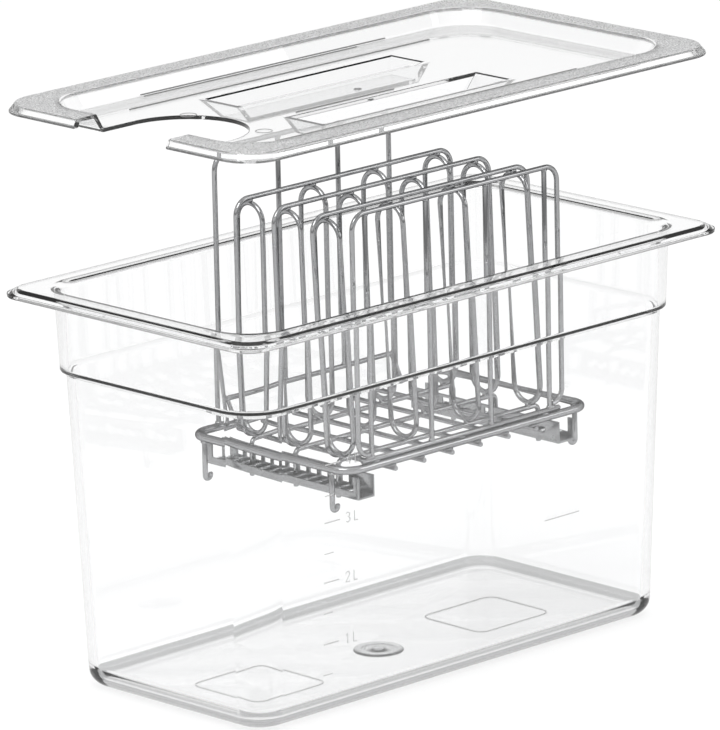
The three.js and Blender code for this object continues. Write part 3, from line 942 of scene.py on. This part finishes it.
def tall_gate():
    """The tall gate and its braces; returns its weld beads."""
    low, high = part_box("tall_gate_frame")
    y = (low.y + high.y) / 2
    x0, x1, z0, z1 = low.x + THIN, high.x - THIN, low.z, high.z - THIN
    top_bend, brace_bend = 10 * MM, 2 * MM
    path = bent([(x0, y, z0), (x0, y, z1, top_bend), (x1, y, z1, top_bend), (x1, y, z0)])
    wire_piece("tall_gate_frame_look", path, THIN, "rack")
    a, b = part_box("tall_gate_lower_bar")
    left, right, top = a.x + THIN, b.x - THIN, b.z - THIN
    reach_y, reach_z = y - 7.7 * MM, top - 15 * MM
    bar = bent([
        (left, reach_y, reach_z), (left, y, top, brace_bend),
        (right, y, top, brace_bend), (right, reach_y, reach_z),
    ], 6)
    wire_piece("tall_gate_lower_bar_look", bar, THIN, "rack")
    beads = []
    for i in (1, 2):
        name = f"tall_gate_wire_{i}"
        line = along(name)
        wire_piece(name + "_look", line, THIN, "rack")
        for z in (z1 - THIN, top + THIN):
            beads.append(bead((line[0].x, y, z), TALL_WIRE_WELD))
    for leg, end in ((x0, left), (x1, right)):
        beads.append(bead(((leg + end) / 2, y, top), TALL_BRACE_WELD))
        beads.append(bead((leg, y, z0), TALL_FOOT_WELD))
    return beads


def block(low, high):
    """Vertices and faces of a box between two corners."""
    xs, ys, zs = zip(low, high)
    spots = [Vector((x, y, z)) for z in zs for y in ys for x in xs]
    return spots, [(0, 2, 3, 1), (4, 5, 7, 6), (0, 1, 5, 4), (1, 3, 7, 5), (3, 2, 6, 7), (2, 0, 4, 6)]


RAIL_PITCH = 7.4 * MM
RAIL_SHEET = 1 * MM
RAIL_LIP = 3.6 * MM
RAIL_POST = 3.5 * MM
RAIL_SLOTS = range(-4, 12)
HOOKED_SLOTS = (0, 4, 8)
CUT_PAST = 10 * MM


def rail_windows(low, high, inner, first):
    """Cutters for the windows in the inner wall; the dividers' own windows are taller."""
    windows = []
    margin = RAIL_POST + 2.5 * MM
    half = 2.4 * MM
    sill = low.z + RAIL_LIP + 0.3 * MM
    for slot in RAIL_SLOTS:
        y = first - slot * RAIL_PITCH
        rise = 5.6 * MM if slot in HOOKED_SLOTS else 3 * MM
        if low.y + margin < y < high.y - margin:
            windows.append(block(
                (inner - 1.5 * RAIL_SHEET, y - half, sill),
                (inner + 1.5 * RAIL_SHEET, y + half, sill + rise),
            ))
    return windows


def rail_teeth(low, high, first):
    """The teeth across the channel, between the slots."""
    teeth = []
    margin = RAIL_POST + 1.5 * MM
    half = 1.1 * MM
    gap = 0.02 * MM
    top = low.z + RAIL_LIP
    for slot in RAIL_SLOTS:
        y = first - slot * RAIL_PITCH - RAIL_PITCH / 2
        if low.y + margin < y < high.y - margin:
            corner = (low.x + gap, y - half, top - 0.9 * MM)
            teeth.append(block(corner, (high.x - gap, y + half, top - gap)))
    return teeth


def rail(name, side):
    """A folded channel: a low lip outside, a windowed wall inside and teeth from one to the other."""
    low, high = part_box(name)
    inside = block(
        (low.x + RAIL_SHEET, low.y - CUT_PAST, low.z + RAIL_SHEET),
        (high.x - RAIL_SHEET, high.y + CUT_PAST, high.z + CUT_PAST),
    )
    blank = solid_object(mesh_of("blank", *block(low, high)))
    trough = combine(blank, solid_object(mesh_of("cut", *inside)), "DIFFERENCE")
    outer, inner = (low.x, high.x) if side < 0 else (high.x, low.x)
    above_lip = block(
        (outer - 1.6 * RAIL_SHEET, low.y + RAIL_POST, low.z + RAIL_LIP),
        (outer + 1.6 * RAIL_SHEET, high.y - RAIL_POST, high.z + CUT_PAST),
    )
    first = centre_of("divider_1_base").y
    cuts = [above_lip] + rail_windows(low, high, inner, first)
    trough = combine(trough, solid_object(mesh_of("cut", *joined(cuts))), "DIFFERENCE")
    made = bevelled(trough, 0.2 * MM, segments=2, limit=50)
    made.name = name + "_look"
    made.materials.clear()
    # The rail's walls get the dark painted shade.
    finish_piece(name + "_look", made, [RAIL_PAINTED_SHADE], "rack", [name], 40)
    teeth = solid_object(mesh_of("comb", *joined(rail_teeth(low, high, first))))
    comb = bevelled(teeth, 0.25 * MM, segments=2, limit=50)
    comb.name = name + "_teeth"
    # The teeth get the bright painted highlight.
    finish_piece(name + "_teeth", comb, [TEETH_PAINTED_HIGHLIGHT], "rack", smooth=40)


RING_HALF = 8.75 * MM
RING_STEPS = 20
DIVIDER_TOE = 7.75 * MM
DIVIDER_TOE_BEND = 7.55 * MM
DIVIDER_TOP_BEND = 8 * MM
UPRIGHT = 1e-5


def ring_path(x, upper, start):
    """A tall ring: two half circles joined by straight wires."""
    points = []
    for middle, turn in ((upper - RING_HALF, 0), (start + RING_HALF, 1)):
        for step in range(RING_STEPS + 1):
            angle = (turn + step / RING_STEPS) * math.pi
            points.append(Vector((x, RING_HALF * math.cos(angle), middle + RING_HALF * math.sin(angle))))
    return points


def divider(number):
    """A base wire with hooked ends, and a frame and four rings that lean about it."""
    prefix = f"divider_{number}"
    base_low, base_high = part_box(prefix + "_base")
    y0 = (base_low.y + base_high.y) / 2
    base_z = base_high.z - THIN
    x0, x1 = base_low.x + THIN, base_high.x - THIN
    hook_bend = 3 * MM
    hooks = bent([
        (x0, y0, base_low.z), (x0, y0, base_z, hook_bend),
        (x1, y0, base_z, hook_bend), (x1, y0, base_low.z),
    ], 6)
    wire_piece(prefix + "_base_look", hooks, THIN, prefix)

    # The upper part leans about the base wire; its box gives the lean.
    low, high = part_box(prefix + "_frame")
    rise = high.z - THIN - base_z
    offset = high.y - THIN - y0
    lean = math.asin(offset / rise) if offset > UPRIGHT else 0.0
    top = rise / math.cos(lean)
    tilt = Matrix.Translation((0, y0, base_z)) @ Matrix.Rotation(-lean, 4, "X")
    left, right = low.x + THIN, high.x - THIN
    start = 2 * THIN + WELD_GAP
    path = bent([
        (left + DIVIDER_TOE, 0, start), (left, 0, start, DIVIDER_TOE_BEND),
        (left, 0, top, DIVIDER_TOP_BEND), (right, 0, top, DIVIDER_TOP_BEND),
        (right, 0, start, DIVIDER_TOE_BEND), (right - DIVIDER_TOE, 0, start),
    ])
    wire_piece(prefix + "_frame_look", [tilt @ p for p in path], THIN, prefix)
    beads = []
    upper = top - 2 * THIN - WELD_GAP
    for i in range(1, 5):
        name = f"{prefix}_ring_{i}"
        x = centre_of(name).x
        points = ring_path(x, upper, start)
        wire_piece(name + "_look", [tilt @ p for p in points], THIN, prefix, closed=True)
        for z, size in ((upper + THIN, RING_TOP_WELD), (start - THIN, RING_FOOT_WELD)):
            beads.append(bead(tilt @ Vector((x, 0, z)), size))
    mesh = mesh_of(prefix + "_welds", *joined(beads))
    finish_piece(prefix + "_welds", mesh, [WIRE], prefix, smooth=80)


container()
wall_marks()
floor_patch("floor_patch_right", (66, -11.5), (50, 43))
floor_patch("floor_patch_left", (-90, -13), (46, 46))
gate_nub()
lid()
gate_marks()
lid_ribs()
rack_welds = rack_base() + front_gate() + tall_gate()
welds_mesh = mesh_of("rack_welds", *joined(rack_welds))
finish_piece("rack_welds", welds_mesh, [WIRE], "rack", smooth=80)
rail("rail_left", -1)
rail("rail_right", 1)
for number in (1, 2, 3):
    divider(number)


# ---------------------------------------------------------------- stage, light and camera


def reflected(nodes, links):
    """1 for light that has met a polished surface on its way, 0 for a straight view."""
    path = nodes.new("ShaderNodeLightPath")
    met = nodes.new("ShaderNodeMath")
    met.operation = "GREATER_THAN"
    met.inputs[1].default_value = 0.5
    links.new(path.outputs["Glossy Depth"], met.inputs[0])
    return met.outputs["Value"]


# How far the floor reaches each way, in metres, and how much of its light is its own.
FLOOR_SIZE = 14.0
FLOOR_GLOW = 0.55


def floor():
    """A plain pale floor that glows a little, like a light table."""
    size = FLOOR_SIZE
    corners = [(-size, -size, 0), (size, -size, 0), (size, size, 0), (-size, size, 0)]
    mesh = mesh_of("floor", corners, [(0, 1, 2, 3)])
    material, nodes, links, output = new_material("floor")
    shader = principled(nodes, Base_Color=(0.93, 0.93, 0.93, 1), Roughness=0.9)
    shader.inputs["Specular IOR Level"].default_value = 0.1
    glow = nodes.new("ShaderNodeEmission")
    glow.inputs["Color"].default_value = (1, 1, 1, 1)
    glow.inputs["Strength"].default_value = 1.0
    plain = nodes.new("ShaderNodeMixShader")
    plain.inputs["Fac"].default_value = FLOOR_GLOW
    links.new(shader.outputs["BSDF"], plain.inputs[1])
    links.new(glow.outputs["Emission"], plain.inputs[2])
    links.new(plain.outputs["Shader"], output.inputs["Surface"])
    mesh.materials.append(material)
    piece = bpy.data.objects.new("floor", mesh)
    bpy.context.scene.collection.objects.link(piece)


# What reflections see from the horizon (0) to the zenith (1), as (height, grey).
SKY_LEVELS = ((0.12, 0.45), (0.2, 0.9), (0.42, 1.0), (0.55, 0.35), (0.68, 0.35), (0.8, 1.0))
HORIZON_LEVEL = 0.4


def world():
    """White to the camera; reflections see grey low down and in a band higher up, the same all round."""
    made = bpy.data.worlds.new("studio")
    made.use_nodes = True
    nodes, links = made.node_tree.nodes, made.node_tree.links
    nodes.clear()
    output = nodes.new("ShaderNodeOutputWorld")
    background = nodes.new("ShaderNodeBackground")
    coordinates = nodes.new("ShaderNodeTexCoord")
    split = nodes.new("ShaderNodeSeparateXYZ")
    links.new(coordinates.outputs["Generated"], split.inputs["Vector"])
    ramp = nodes.new("ShaderNodeValToRGB")
    elements = ramp.color_ramp.elements
    elements[0].position = 0.0
    elements[0].color = (HORIZON_LEVEL, HORIZON_LEVEL, HORIZON_LEVEL, 1)
    elements[1].position = 1.0
    elements[1].color = (1, 1, 1, 1)
    for position, level in SKY_LEVELS:
        element = elements.new(position)
        element.color = (level, level, level, 1)
    links.new(split.outputs["Z"], ramp.inputs["Fac"])
    mix = nodes.new("ShaderNodeMix")
    mix.data_type = "RGBA"
    links.new(reflected(nodes, links), mix.inputs["Factor"])
    sockets = [s for s in mix.inputs if s.type == "RGBA"]
    sockets[0].default_value = (1, 1, 1, 1)
    links.new(ramp.outputs["Color"], sockets[1])
    result = [s for s in mix.outputs if s.type == "RGBA"][0]
    links.new(result, background.inputs["Color"])
    background.inputs["Strength"].default_value = 1.0
    links.new(background.outputs["Background"], output.inputs["Surface"])
    bpy.context.scene.world = made


LAMP_TARGET = (0, 0, 0.12)


def softbox(name, place, size, power):
    """A rectangular lamp, in metres and watts, turned to the part."""
    light = bpy.data.lights.new(name, "AREA")
    light.shape = "RECTANGLE"
    light.size, light.size_y = size
    light.energy = power
    lamp = bpy.data.objects.new(name, light)
    lamp.location = place
    lamp.rotation_euler = (Vector(place) - Vector(LAMP_TARGET)).to_track_quat("Z", "Y").to_euler()
    bpy.context.scene.collection.objects.link(lamp)


def camera():
    azimuth, elevation = math.radians(AZIMUTH), math.radians(ELEVATION)
    look = Vector((
        -math.sin(azimuth) * math.cos(elevation), math.cos(azimuth) * math.cos(elevation), -math.sin(elevation),
    ))
    data = bpy.data.cameras.new("camera")
    data.sensor_fit = "HORIZONTAL"
    data.sensor_width = 36
    data.lens = LENS
    data.clip_end = 60
    data.shift_x, data.shift_y = SHIFT
    view = bpy.data.objects.new("camera", data)
    turn = look.to_track_quat("-Z", "Y").to_matrix().to_4x4()
    view.matrix_world = (
        Matrix.Translation(TARGET - look * DISTANCE) @ turn @ Matrix.Rotation(math.radians(ROLL), 4, "Z")
    )
    bpy.context.scene.collection.objects.link(view)
    bpy.context.scene.camera = view


floor()
world()
softbox("key", (-1.6, -0.6, 2.2), (1.6, 1.2), 26)
softbox("fill", (1.5, -1.9, 1.3), (1.2, 1.6), 10)
camera()
bpy.context.scene.view_settings.view_transform = "Standard"
